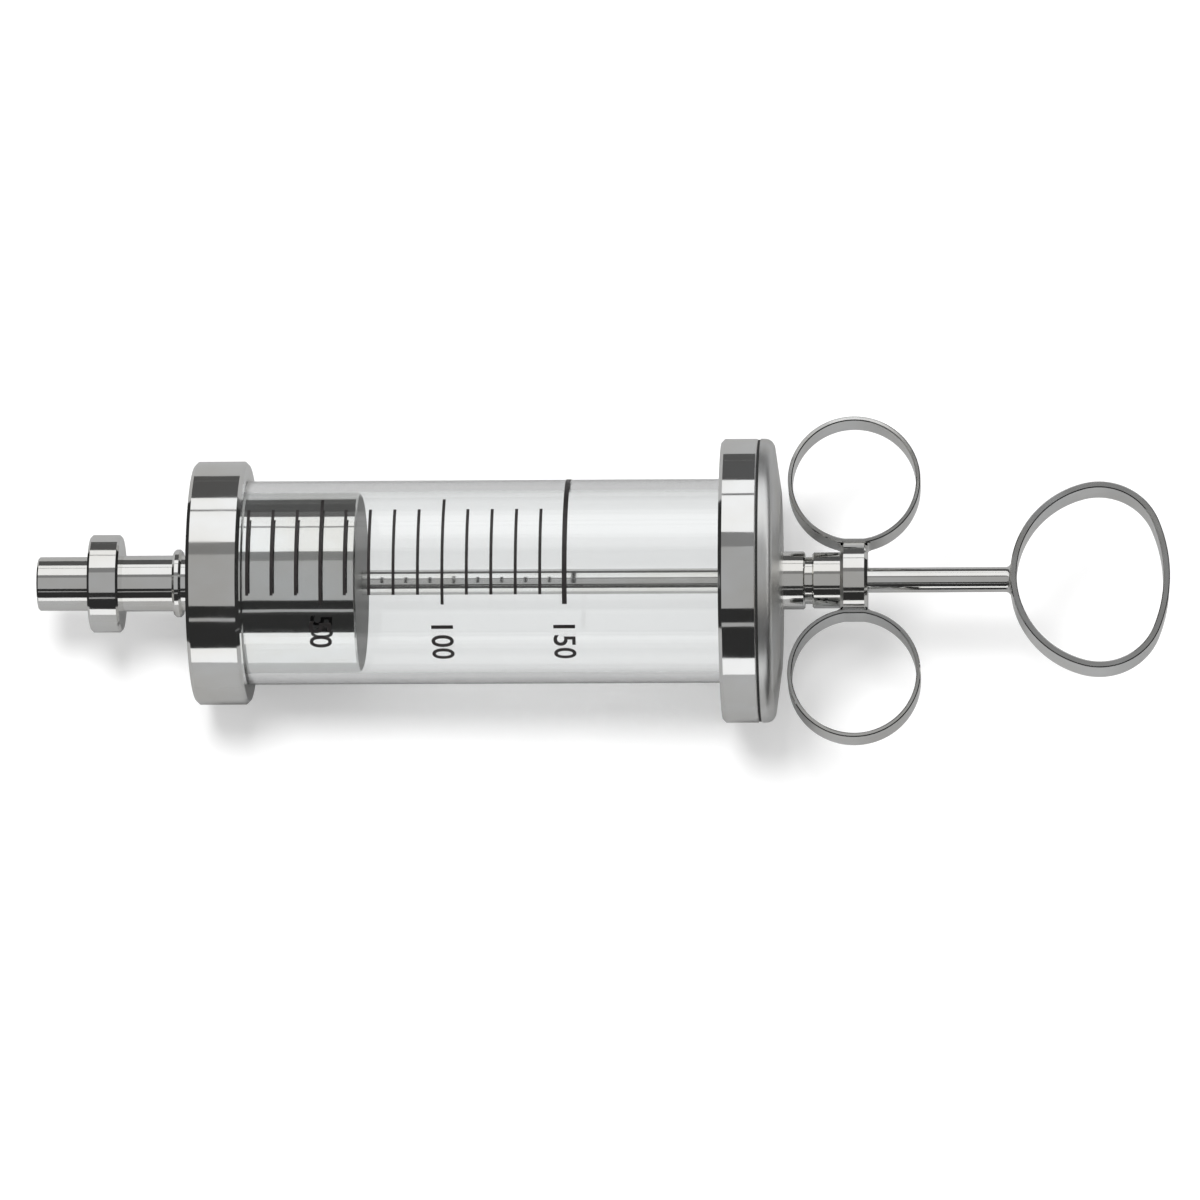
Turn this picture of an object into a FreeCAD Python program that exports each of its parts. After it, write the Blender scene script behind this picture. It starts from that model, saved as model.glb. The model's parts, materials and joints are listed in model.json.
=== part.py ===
import FreeCAD, Part
import math
import os

# A 150 ml irrigation syringe with a catheter tip: a glass barrel between two chromed metal
# mounts, a chromed metal piston on a rod, two finger rings on the rear cover and a thumb ring.
# All sizes are in millimetres. Every piece is first made along the X axis, which is the
# syringe's own axis, with x = 0 at the mouth of the tip and x growing towards the thumb ring.
# The rings lie flat in the XY plane. At the end the whole syringe is laid down on the table.

# Clearances between pieces
RUNNING_GAP = 0.05
THREAD_GAP = 0.08
SOLDER_GAP = 0.02
CEMENT_GAP = 0.05
GASKET_GAP = 0.10
PISTON_GAP = 0.20
END_PLAY = 0.05
STOP_GAP = 0.30

# Catheter tip
TIP_RADIUS = 6.75
TIP_LENGTH = 13.25
TIP_BORE_RADIUS = 4.0
TIP_BORE_DEPTH = 10.0
TIP_MOUTH_CHAMFER = 0.4
COLLAR_RADIUS = 12.25
COLLAR_LENGTH = 7.75
COLLAR_CHAMFER = 0.6
TIP_SOCKET_DEPTH = 9.5
TIP_WASHER_THICKNESS = 1.0

# Neck tube
NECK_RADIUS = 7.0
NECK_LENGTH = 18.75
NECK_BORE_RADIUS = 2.5
NECK_THREAD_RADIUS = 5.0
NECK_SPIGOT_RADIUS = 5.5
NECK_BEAD_RADIUS = 8.5
NECK_BEAD_WIDTH = 2.2
NECK_BEAD_TO_CAP = 3.4
NECK_BEAD_CHAMFER = 0.6

# Front cap
CAP_WALL = 5.0
CAP_LENGTH = 13.25
CAP_FLOOR = 3.25
CAP_EDGE_CHAMFER = 0.9
CAP_MOUTH_CHAMFER = 0.6

# Glass barrel and its two gaskets
GLASS_OUTER_RADIUS = 25.5
GLASS_WALL = 2.7
GLASS_LENGTH = 134.0
GLASS_END_CHAMFER = 0.5
FRONT_GASKET_THICKNESS = 1.0
REAR_GASKET_THICKNESS = 1.0

# Graduation, one line for every ten millilitres
FIRST_LINE_OFFSET = 10.65
LINE_SPACING = 6.06
LINE_COUNT = 14
LINE_WIDTH = 0.75
LAST_LINE_WIDTH = 1.2
LONG_LINE_EVERY = 5
FIRST_LONG_LINE = 3
ENAMEL_THICKNESS = 0.10
ENAMEL_GAP = 0.01
SHORT_LINE_LOW_ANGLE = -23.0
LONG_LINE_LOW_ANGLE = -28.5
SHORT_LINE_SWEEP = 52.0
LONG_LINE_SWEEP = 66.0
LAST_LINE_SWEEP = 102.0

# Rear ferrule, cemented round the glass
FERRULE_RIM = 10.0
FERRULE_THREAD_WALL = 4.5
FERRULE_LENGTH = 9.8
FERRULE_SEAT = 5.3
FERRULE_EDGE_CHAMFER = 0.9

# Rear cover, screwed into the ferrule
COVER_RIM_THICKNESS = 3.2
COVER_THICKNESS = 5.0
COVER_ROUND = 2.5
COVER_SLOPE = 12.75
COVER_RECESS_DEPTH = 4.0
COVER_RECESS_HUB_WALL = 3.0
COVER_GASKET_LEDGE = 1.3
BOSS_RADIUS = 7.25
BOSS_LENGTH = 5.9
BOSS_THREAD_RADIUS = 5.5
BUSH_RADIUS = 5.0
BUSH_LENGTH = 7.0
BUSH_FLANGE_RADIUS = 7.0
BUSH_FLANGE_THICKNESS = 0.8
ROD_SEAL_THICKNESS = 2.0

# Grip hub, screwed into the boss of the cover
HUB_RADIUS = 7.0
HUB_GROOVE_RADIUS = 5.9
HUB_GROOVE_WIDTH = 1.8
HUB_BARREL_LENGTH = 7.0
HUB_SADDLE_LENGTH = 6.8
HUB_SADDLE_RADIUS = 9.5
HUB_SADDLE_CHAMFER = 0.8
HUB_EDGE_CHAMFER = 0.4

# Finger rings, bent from flat strip with a flat foot on the saddle
FINGER_RING_RADIUS = 16.6
FINGER_RING_FOOT = 16.4
FINGER_RING_OFFSET = 25.0
FINGER_RING_CORNER = 5.0
FINGER_STRIP_THICKNESS = 1.1
FINGER_STRIP_WIDTH = 8.5
STRIP_EDGE_CHAMFER = 0.25

# Thumb ring, an oval bent from thicker strip
THUMB_RING_LENGTH = 39.75
THUMB_RING_HEIGHT = 48.25
THUMB_FAR_RADIUS = 38.0
THUMB_CORNER_RADIUS = 16.0
THUMB_STRIP_THICKNESS = 1.6
THUMB_STRIP_WIDTH = 9.5
THUMB_RING_TO_HUB = 35.5

# Piston and rod
PISTON_LENGTH = 36.1
PISTON_WALL = 2.2
PISTON_FRONT_WALL = 4.6
PISTON_FRONT_DEPTH = 8.0
PISTON_REAR_WALL = 4.0
PISTON_EDGE_CHAMFER = 0.5
PLATE_THICKNESS = 2.0
PLATE_SPIGOT = 4.5
PLATE_SPIGOT_WALL = 2.5
PLATE_EDGE_CHAMFER = 0.6
O_RING_SECTION = 2.0
O_RING_GROOVE_WIDTH = 2.3
FIRST_O_RING_FROM_PLATE = 1.9
O_RING_SPACING = 3.2
ROD_RADIUS = 3.125
ROD_THREAD_RADIUS = 2.5
PISTON_WASHER_RADIUS = 6.0
PISTON_WASHER_THICKNESS = 1.0
NUT_ACROSS_FLATS = 9.0
NUT_THICKNESS = 4.0
ROD_END_PAST_NUT = 0.8

# Radii that follow from the glass, so that the metal mounts always fit round it
GLASS_BORE_RADIUS = GLASS_OUTER_RADIUS - GLASS_WALL
PISTON_RADIUS = GLASS_BORE_RADIUS - PISTON_GAP
CAP_RADIUS = GLASS_OUTER_RADIUS + CAP_WALL
FERRULE_RADIUS = GLASS_OUTER_RADIUS + FERRULE_RIM
FERRULE_THREAD_RADIUS = FERRULE_RADIUS - FERRULE_THREAD_WALL
COVER_FACE_RADIUS = FERRULE_RADIUS - COVER_SLOPE
COVER_RECESS_INNER_RADIUS = BUSH_RADIUS + COVER_RECESS_HUB_WALL
COVER_RECESS_OUTER_RADIUS = GLASS_BORE_RADIUS - COVER_GASKET_LEDGE

# Stations along the axis, each worked out from the sizes above
COLLAR_X = TIP_LENGTH
NECK_X = COLLAR_X + COLLAR_LENGTH
CAP_X = NECK_X + NECK_LENGTH
CAP_FLOOR_X = CAP_X + CAP_FLOOR
GLASS_X = CAP_FLOOR_X + FRONT_GASKET_THICKNESS
GLASS_END_X = GLASS_X + GLASS_LENGTH
SPIGOT_FRONT_X = GLASS_END_X + REAR_GASKET_THICKNESS
FERRULE_X = GLASS_END_X - FERRULE_SEAT - REAR_GASKET_THICKNESS
COVER_X = FERRULE_X + FERRULE_LENGTH
COVER_FACE_X = COVER_X + COVER_THICKNESS
BOSS_END_X = COVER_FACE_X + BOSS_LENGTH
BUSH_END_X = SPIGOT_FRONT_X + BUSH_LENGTH
HUB_X = BOSS_END_X + END_PLAY
HUB_BARREL_X = HUB_X + HUB_GROOVE_WIDTH
HUB_SADDLE_X = HUB_BARREL_X + HUB_BARREL_LENGTH
HUB_END_X = HUB_SADDLE_X + HUB_SADDLE_LENGTH
FINGER_RING_X = HUB_SADDLE_X + HUB_SADDLE_LENGTH / 2
THUMB_RING_X = HUB_END_X + THUMB_RING_TO_HUB
PISTON_FRONT_X = CAP_FLOOR_X + STOP_GAP
PISTON_BODY_X = PISTON_FRONT_X + PLATE_THICKNESS
PISTON_REAR_X = PISTON_BODY_X + PISTON_LENGTH
PISTON_REAR_WALL_X = PISTON_REAR_X - PISTON_REAR_WALL

ORIGIN = FreeCAD.Vector(0, 0, 0)
ALONG_X = FreeCAD.Vector(1, 0, 0)
ALONG_Y = FreeCAD.Vector(0, 1, 0)
ALONG_Z = FreeCAD.Vector(0, 0, 1)
FULL_TURN = 360
QUARTER_TURN = 90
HEX_SIDES = 6
EDGE_SEARCH = 0.01


def closed_outline(corners):
    """A closed wire in the XY plane through corners given as x and y."""
    points = [FreeCAD.Vector(x, y, 0) for x, y in corners]
    points.append(points[0])
    return Part.makePolygon(points)


def turned(corners):
    """A piece turned on the lathe: its half section, as x and radius, spun round the axis."""
    return Part.Face(closed_outline(corners)).revolve(ORIGIN, ALONG_X, FULL_TURN)


def turned_ring(front, rear, inner_radius, outer_radius):
    """A plain turned ring with square edges."""
    return turned(
        [
            (front, inner_radius),
            (front, outer_radius),
            (rear, outer_radius),
            (rear, inner_radius),
        ]
    )


def chamfered_rim(front, rear, radius, chamfer):
    """The four corners of an outer rim whose two edges are chamfered."""
    return [
        (front, radius - chamfer),
        (front + chamfer, radius),
        (rear - chamfer, radius),
        (rear, radius - chamfer),
    ]


def round_rear_rim(piece, rim_x, radius):
    """Rounds the outermost circle of a turned piece at one station along the axis."""
    circles = [edge for edge in piece.Edges if abs(edge.BoundBox.Center.x - rim_x) < EDGE_SEARCH]
    outermost = max(circles, key=lambda edge: edge.BoundBox.YLength)
    return piece.makeFillet(radius, [outermost])


def bent_strip(outer_wire, inner_wire, width):
    """A ring bent from flat strip: the space between two wires, as wide as the strip."""
    section = Part.Face(outer_wire).cut(Part.Face(inner_wire)).Faces[0]
    section.translate(FreeCAD.Vector(0, 0, -width / 2))
    strip = section.extrude(ALONG_Z * width)
    rims = [edge for edge in strip.Edges if edge.BoundBox.ZLength < STRIP_EDGE_CHAMFER]
    return strip.makeChamfer(STRIP_EDGE_CHAMFER, rims)


def arc_about(centre, radius, start_angle, end_angle):
    """An arc in the XY plane that runs anticlockwise between two angles in radians."""
    points = []
    for angle in (start_angle, (start_angle + end_angle) / 2, end_angle):
        points.append(centre + FreeCAD.Vector(math.cos(angle), math.sin(angle), 0) * radius)
    return Part.Arc(*points).toShape()


def finger_ring_outline(radius, foot, corner):
    """A circle with a flat foot at -Y, whose two ends are bent round a smaller radius."""
    corner_x = math.sqrt((radius - corner) ** 2 - (foot - corner) ** 2)
    corner_y = corner - foot
    lean = math.atan2(corner_y, corner_x)
    right = FreeCAD.Vector(corner_x, corner_y, 0)
    left = FreeCAD.Vector(-corner_x, corner_y, 0)
    down = -math.pi / 2
    main = arc_about(ORIGIN, radius, lean, math.pi - lean)
    left_corner = arc_about(left, corner, math.pi - lean, math.pi - down)
    flat = Part.LineSegment(left - ALONG_Y * corner, right - ALONG_Y * corner).toShape()
    right_corner = arc_about(right, corner, down, lean)
    return Part.Wire([main, left_corner, flat, right_corner])


def thumb_ring_outline(half_length, half_height, far_radius, corner_radius):
    """An oval of four tangent arcs, flattest on the side away from the rod."""
    lift = half_height - corner_radius
    far_angle = math.asin(lift / (far_radius - corner_radius))
    far_centre = FreeCAD.Vector(half_length - far_radius, 0, 0)
    corner_x = far_centre.x + (far_radius - corner_radius) * math.cos(far_angle)
    reach = corner_x + half_length
    near_radius = (reach**2 + lift**2 - corner_radius**2) / (2 * (reach - corner_radius))
    near_centre = FreeCAD.Vector(near_radius - half_length, 0, 0)
    near_angle = math.atan2(lift, corner_x - near_centre.x)
    upper = FreeCAD.Vector(corner_x, lift, 0)
    lower = FreeCAD.Vector(corner_x, -lift, 0)
    return Part.Wire(
        [
            arc_about(far_centre, far_radius, -far_angle, far_angle),
            arc_about(upper, corner_radius, far_angle, near_angle),
            arc_about(near_centre, near_radius, near_angle, 2 * math.pi - near_angle),
            arc_about(lower, corner_radius, -near_angle, -far_angle),
        ]
    )


def make_catheter_tip():
    """The tip with its gripping collar, bored for the stream and socketed for the neck."""
    socket_x = NECK_X - TIP_SOCKET_DEPTH
    socket_radius = NECK_THREAD_RADIUS + THREAD_GAP
    return turned(
        [
            (0, TIP_BORE_RADIUS),
            (0, TIP_RADIUS - TIP_MOUTH_CHAMFER),
            (TIP_MOUTH_CHAMFER, TIP_RADIUS),
            (COLLAR_X, TIP_RADIUS),
            *chamfered_rim(COLLAR_X, NECK_X, COLLAR_RADIUS, COLLAR_CHAMFER),
            (NECK_X, socket_radius),
            (socket_x, socket_radius),
            (socket_x, NECK_BORE_RADIUS),
            (TIP_BORE_DEPTH, NECK_BORE_RADIUS),
            (TIP_BORE_DEPTH, TIP_BORE_RADIUS),
        ]
    )


def make_tip_washer():
    """The soft washer at the bottom of the tip's socket."""
    front = NECK_X - TIP_SOCKET_DEPTH
    rear = front + TIP_WASHER_THICKNESS
    return turned_ring(front, rear, NECK_BORE_RADIUS, NECK_THREAD_RADIUS - GASKET_GAP)


def make_neck_tube():
    """The neck: a threaded nose for the tip, a small bead, and a spigot through the cap."""
    nose_x = NECK_X - TIP_SOCKET_DEPTH + TIP_WASHER_THICKNESS
    bead_end_x = CAP_X - NECK_BEAD_TO_CAP
    bead_x = bead_end_x - NECK_BEAD_WIDTH
    return turned(
        [
            (nose_x, NECK_BORE_RADIUS),
            (nose_x, NECK_THREAD_RADIUS),
            (NECK_X, NECK_THREAD_RADIUS),
            (NECK_X, NECK_RADIUS),
            (bead_x, NECK_RADIUS),
            *chamfered_rim(bead_x, bead_end_x, NECK_BEAD_RADIUS, NECK_BEAD_CHAMFER),
            (bead_end_x, NECK_RADIUS),
            (CAP_X, NECK_RADIUS),
            (CAP_X, NECK_SPIGOT_RADIUS),
            (CAP_FLOOR_X, NECK_SPIGOT_RADIUS),
            (CAP_FLOOR_X, NECK_BORE_RADIUS),
        ]
    )


def make_front_cap():
    """The front mount, a deep cup that holds the end of the glass."""
    mouth_x = CAP_X + CAP_LENGTH
    hole_radius = NECK_SPIGOT_RADIUS + SOLDER_GAP
    seat_radius = GLASS_OUTER_RADIUS + CEMENT_GAP
    return turned(
        [
            (CAP_X, hole_radius),
            *chamfered_rim(CAP_X, mouth_x, CAP_RADIUS, CAP_EDGE_CHAMFER),
            (mouth_x, seat_radius + CAP_MOUTH_CHAMFER),
            (mouth_x - CAP_MOUTH_CHAMFER, seat_radius),
            (CAP_FLOOR_X, seat_radius),
            (CAP_FLOOR_X, hole_radius),
        ]
    )


def make_glass_barrel():
    """The glass tube, with both ends fire polished."""
    return turned(
        [
            (GLASS_X, GLASS_BORE_RADIUS + GLASS_END_CHAMFER),
            *chamfered_rim(GLASS_X, GLASS_END_X, GLASS_OUTER_RADIUS, GLASS_END_CHAMFER),
            (GLASS_END_X, GLASS_BORE_RADIUS + GLASS_END_CHAMFER),
            (GLASS_END_X - GLASS_END_CHAMFER, GLASS_BORE_RADIUS),
            (GLASS_X + GLASS_END_CHAMFER, GLASS_BORE_RADIUS),
        ]
    )


def make_gasket(front, thickness):
    """A flat gasket on the end of the glass."""
    inner_radius = GLASS_BORE_RADIUS + GASKET_GAP
    return turned_ring(front, front + thickness, inner_radius, GLASS_OUTER_RADIUS - GASKET_GAP)


def make_graduation_lines():
    """The fired enamel lines on the glass, each a thin arc over its upper side."""
    inner_radius = GLASS_OUTER_RADIUS + ENAMEL_GAP
    outer_radius = inner_radius + ENAMEL_THICKNESS
    lines = []
    for index in range(LINE_COUNT):
        width = LINE_WIDTH
        low_angle = SHORT_LINE_LOW_ANGLE
        sweep = SHORT_LINE_SWEEP
        if (index - FIRST_LONG_LINE) % LONG_LINE_EVERY == 0:
            low_angle = LONG_LINE_LOW_ANGLE
            sweep = LONG_LINE_SWEEP
        if index == LINE_COUNT - 1:
            width = LAST_LINE_WIDTH
            sweep = LAST_LINE_SWEEP
        middle_x = GLASS_X + FIRST_LINE_OFFSET + index * LINE_SPACING
        section = Part.Face(
            closed_outline(
                [
                    (middle_x - width / 2, inner_radius),
                    (middle_x - width / 2, outer_radius),
                    (middle_x + width / 2, outer_radius),
                    (middle_x + width / 2, inner_radius),
                ]
            )
        )
        section.rotate(ORIGIN, ALONG_X, QUARTER_TURN - low_angle - sweep)
        lines.append(section.revolve(ORIGIN, ALONG_X, sweep))
    return Part.makeCompound(lines)


def make_rear_ferrule():
    """The rear mount, a ring round the glass with a threaded mouth for the cover."""
    seat_radius = GLASS_OUTER_RADIUS + CEMENT_GAP
    seat_end_x = FERRULE_X + FERRULE_SEAT
    return turned(
        [
            (FERRULE_X, seat_radius),
            *chamfered_rim(FERRULE_X, COVER_X, FERRULE_RADIUS, FERRULE_EDGE_CHAMFER),
            (COVER_X, FERRULE_THREAD_RADIUS),
            (seat_end_x, FERRULE_THREAD_RADIUS),
            (seat_end_x, seat_radius),
        ]
    )


def make_rear_cover():
    """The screwed cover: hollowed threaded spigot, domed rim, sloping face and boss."""
    recess_x = SPIGOT_FRONT_X + COVER_RECESS_DEPTH
    rim_x = COVER_X + COVER_RIM_THICKNESS
    spigot_radius = FERRULE_THREAD_RADIUS - THREAD_GAP
    bush_hole_radius = BUSH_RADIUS + SOLDER_GAP
    cover = turned(
        [
            (SPIGOT_FRONT_X, bush_hole_radius),
            (SPIGOT_FRONT_X, COVER_RECESS_INNER_RADIUS),
            (recess_x, COVER_RECESS_INNER_RADIUS),
            (recess_x, COVER_RECESS_OUTER_RADIUS),
            (SPIGOT_FRONT_X, COVER_RECESS_OUTER_RADIUS),
            (SPIGOT_FRONT_X, spigot_radius),
            (COVER_X, spigot_radius),
            (COVER_X, FERRULE_RADIUS),
            (rim_x, FERRULE_RADIUS),
            (COVER_FACE_X, COVER_FACE_RADIUS),
            (COVER_FACE_X, BOSS_RADIUS),
            (BOSS_END_X - HUB_EDGE_CHAMFER, BOSS_RADIUS),
            (BOSS_END_X, BOSS_RADIUS - HUB_EDGE_CHAMFER),
            (BOSS_END_X, BOSS_THREAD_RADIUS),
            (BUSH_END_X, BOSS_THREAD_RADIUS),
            (BUSH_END_X, bush_hole_radius),
        ]
    )
    return round_rear_rim(cover, rim_x, COVER_ROUND)


def make_guide_bush():
    """The flanged bush in which the rod slides. Its flange is the piston's rear stop."""
    flange_x = SPIGOT_FRONT_X - BUSH_FLANGE_THICKNESS
    bore_radius = ROD_RADIUS + RUNNING_GAP
    return turned(
        [
            (flange_x, bore_radius),
            (flange_x, BUSH_FLANGE_RADIUS),
            (SPIGOT_FRONT_X, BUSH_FLANGE_RADIUS),
            (SPIGOT_FRONT_X, BUSH_RADIUS),
            (BUSH_END_X, BUSH_RADIUS),
            (BUSH_END_X, bore_radius),
        ]
    )


def make_rod_seal():
    """The packing ring round the rod, behind the bush."""
    rear = BUSH_END_X + ROD_SEAL_THICKNESS
    outer_radius = BOSS_THREAD_RADIUS - GASKET_GAP
    return turned_ring(BUSH_END_X, rear, ROD_RADIUS + RUNNING_GAP, outer_radius)


def make_grip_hub():
    """The hub that screws into the boss and carries the finger rings on a saddle."""
    thread_x = BUSH_END_X + ROD_SEAL_THICKNESS
    bore_radius = ROD_RADIUS + RUNNING_GAP
    hub = turned(
        [
            (thread_x, bore_radius),
            (thread_x, BOSS_THREAD_RADIUS - THREAD_GAP),
            (HUB_X, BOSS_THREAD_RADIUS - THREAD_GAP),
            (HUB_X, HUB_GROOVE_RADIUS),
            (HUB_BARREL_X, HUB_GROOVE_RADIUS),
            (HUB_BARREL_X, HUB_RADIUS - HUB_EDGE_CHAMFER),
            (HUB_BARREL_X + HUB_EDGE_CHAMFER, HUB_RADIUS),
            (HUB_SADDLE_X, HUB_RADIUS),
            (HUB_SADDLE_X, HUB_SADDLE_RADIUS - HUB_SADDLE_CHAMFER),
            (HUB_SADDLE_X + HUB_SADDLE_CHAMFER, HUB_SADDLE_RADIUS),
            (HUB_END_X - HUB_SADDLE_CHAMFER, HUB_SADDLE_RADIUS),
            (HUB_END_X, HUB_SADDLE_RADIUS - HUB_SADDLE_CHAMFER),
            (HUB_END_X, bore_radius),
        ]
    )
    flat_y = FINGER_RING_OFFSET - FINGER_RING_FOOT - SOLDER_GAP
    side = 2 * HUB_SADDLE_RADIUS
    for start_y in (flat_y, -flat_y - side):
        corner = FreeCAD.Vector(HUB_SADDLE_X - HUB_GROOVE_WIDTH, start_y, -side / 2)
        length = HUB_SADDLE_LENGTH + 2 * HUB_GROOVE_WIDTH
        hub = hub.cut(Part.makeBox(length, side, side, corner))
    return hub


def make_finger_ring(side):
    """One finger ring, its foot on the saddle. Side is 1 for the +Y ring and -1 for the other."""
    thickness = FINGER_STRIP_THICKNESS
    outer = finger_ring_outline(FINGER_RING_RADIUS, FINGER_RING_FOOT, FINGER_RING_CORNER)
    inner = finger_ring_outline(
        FINGER_RING_RADIUS - thickness,
        FINGER_RING_FOOT - thickness,
        FINGER_RING_CORNER - thickness,
    )
    ring = bent_strip(outer, inner, FINGER_STRIP_WIDTH)
    if side < 0:
        ring.rotate(ORIGIN, ALONG_Z, FULL_TURN / 2)
    ring.translate(FreeCAD.Vector(FINGER_RING_X, side * FINGER_RING_OFFSET, 0))
    return ring


def thumb_ring_wire(inset):
    """The thumb ring's outline, drawn in by the inset and placed at the end of the rod."""
    wire = thumb_ring_outline(
        THUMB_RING_LENGTH / 2 - inset,
        THUMB_RING_HEIGHT / 2 - inset,
        THUMB_FAR_RADIUS - inset,
        THUMB_CORNER_RADIUS - inset,
    )
    wire.translate(FreeCAD.Vector(THUMB_RING_X + THUMB_RING_LENGTH / 2, 0, 0))
    return wire


def make_thumb_ring():
    """The thumb ring at the end of the rod."""
    return bent_strip(thumb_ring_wire(0), thumb_ring_wire(THUMB_STRIP_THICKNESS), THUMB_STRIP_WIDTH)


def make_piston_rod():
    """The rod: a threaded end for the piston, a shoulder, and an end hollowed for the ring."""
    washer_x = PISTON_REAR_WALL_X - END_PLAY - PISTON_WASHER_THICKNESS
    thread_x = washer_x - NUT_THICKNESS - ROD_END_PAST_NUT
    shoulder_x = PISTON_REAR_X + END_PLAY
    rod = turned(
        [
            (thread_x, 0),
            (thread_x, ROD_THREAD_RADIUS),
            (shoulder_x, ROD_THREAD_RADIUS),
            (shoulder_x, ROD_RADIUS),
            (THUMB_RING_X + THUMB_STRIP_THICKNESS, ROD_RADIUS),
            (THUMB_RING_X + THUMB_STRIP_THICKNESS, 0),
        ]
    )
    ring_block = Part.Face(thumb_ring_wire(-SOLDER_GAP))
    ring_block.translate(FreeCAD.Vector(0, 0, -THUMB_STRIP_WIDTH))
    return rod.cut(ring_block.extrude(ALONG_Z * (2 * THUMB_STRIP_WIDTH)))


def make_piston_body():
    """The hollow piston, open at the front, with two seal grooves and a bored rear wall."""
    groove_radius = GLASS_BORE_RADIUS - RUNNING_GAP - O_RING_SECTION - RUNNING_GAP
    front_bore = PISTON_RADIUS - PISTON_FRONT_WALL
    main_bore = PISTON_RADIUS - PISTON_WALL
    step_x = PISTON_BODY_X + PISTON_FRONT_DEPTH
    hole_radius = ROD_THREAD_RADIUS + RUNNING_GAP
    body = turned(
        [
            (PISTON_BODY_X, front_bore),
            (PISTON_BODY_X, PISTON_RADIUS),
            (PISTON_REAR_X - PISTON_EDGE_CHAMFER, PISTON_RADIUS),
            (PISTON_REAR_X, PISTON_RADIUS - PISTON_EDGE_CHAMFER),
            (PISTON_REAR_X, hole_radius),
            (PISTON_REAR_WALL_X, hole_radius),
            (PISTON_REAR_WALL_X, main_bore),
            (step_x, main_bore),
            (step_x, front_bore),
        ]
    )
    for centre_x in o_ring_stations():
        front = centre_x - O_RING_GROOVE_WIDTH / 2
        rear = centre_x + O_RING_GROOVE_WIDTH / 2
        body = body.cut(turned_ring(front, rear, groove_radius, GLASS_OUTER_RADIUS))
    return body


def make_piston_front_plate():
    """The plate that closes the front of the piston, with a spigot screwed into its bore."""
    spigot_end_x = PISTON_BODY_X + PLATE_SPIGOT
    spigot_radius = PISTON_RADIUS - PISTON_FRONT_WALL - SOLDER_GAP
    return turned(
        [
            (PISTON_FRONT_X, 0),
            (PISTON_FRONT_X, PISTON_RADIUS - PLATE_EDGE_CHAMFER),
            (PISTON_FRONT_X + PLATE_EDGE_CHAMFER, PISTON_RADIUS),
            (PISTON_BODY_X, PISTON_RADIUS),
            (PISTON_BODY_X, spigot_radius),
            (spigot_end_x, spigot_radius),
            (spigot_end_x, spigot_radius - PLATE_SPIGOT_WALL),
            (PISTON_BODY_X, spigot_radius - PLATE_SPIGOT_WALL),
            (PISTON_BODY_X, 0),
        ]
    )


def o_ring_stations():
    """Where the middles of the two piston seals lie along the axis."""
    first = PISTON_BODY_X + FIRST_O_RING_FROM_PLATE
    return [first, first + O_RING_SPACING]


def make_o_ring(centre_x):
    """One piston seal, a ring of round section."""
    section_radius = O_RING_SECTION / 2
    ring_radius = GLASS_BORE_RADIUS - RUNNING_GAP - section_radius
    return Part.makeTorus(ring_radius, section_radius, FreeCAD.Vector(centre_x, 0, 0), ALONG_X)


def make_piston_washer():
    """The washer between the nut and the piston's rear wall."""
    rear = PISTON_REAR_WALL_X - END_PLAY
    front = rear - PISTON_WASHER_THICKNESS
    return turned_ring(front, rear, ROD_THREAD_RADIUS + SOLDER_GAP, PISTON_WASHER_RADIUS)


def make_piston_nut():
    """The hexagon nut that holds the rod in the piston."""
    front = PISTON_REAR_WALL_X - END_PLAY - PISTON_WASHER_THICKNESS - NUT_THICKNESS
    corner_radius = NUT_ACROSS_FLATS / (2 * math.cos(math.pi / HEX_SIDES))
    points = []
    for index in range(HEX_SIDES + 1):
        angle = 2 * math.pi * index / HEX_SIDES
        y = corner_radius * math.cos(angle)
        z = corner_radius * math.sin(angle)
        points.append(FreeCAD.Vector(front, y, z))
    block = Part.Face(Part.makePolygon(points)).extrude(ALONG_X * NUT_THICKNESS)
    hole = Part.makeCylinder(
        ROD_THREAD_RADIUS + SOLDER_GAP, NUT_THICKNESS, FreeCAD.Vector(front, 0, 0), ALONG_X
    )
    return block.cut(hole)


def rest_tilt():
    """How far the nose dips, in degrees, when the cap and the ferrule both touch the table."""
    cap_contact_x = CAP_X + CAP_EDGE_CHAMFER
    ferrule_contact_x = FERRULE_X + FERRULE_EDGE_CHAMFER
    drop = FERRULE_RADIUS - CAP_RADIUS
    return math.degrees(math.atan2(drop, ferrule_contact_x - cap_contact_x))


def lay_down(pieces):
    """Tilts all the pieces to their rest and centres them, standing on z = 0."""
    for shape in pieces.values():
        shape.rotate(ORIGIN, ALONG_Y, -rest_tilt())
    box = Part.makeCompound(list(pieces.values())).optimalBoundingBox(False, False)
    shift = FreeCAD.Vector(-box.Center.x, -box.Center.y, -box.ZMin)
    for shape in pieces.values():
        shape.translate(shift)


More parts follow.
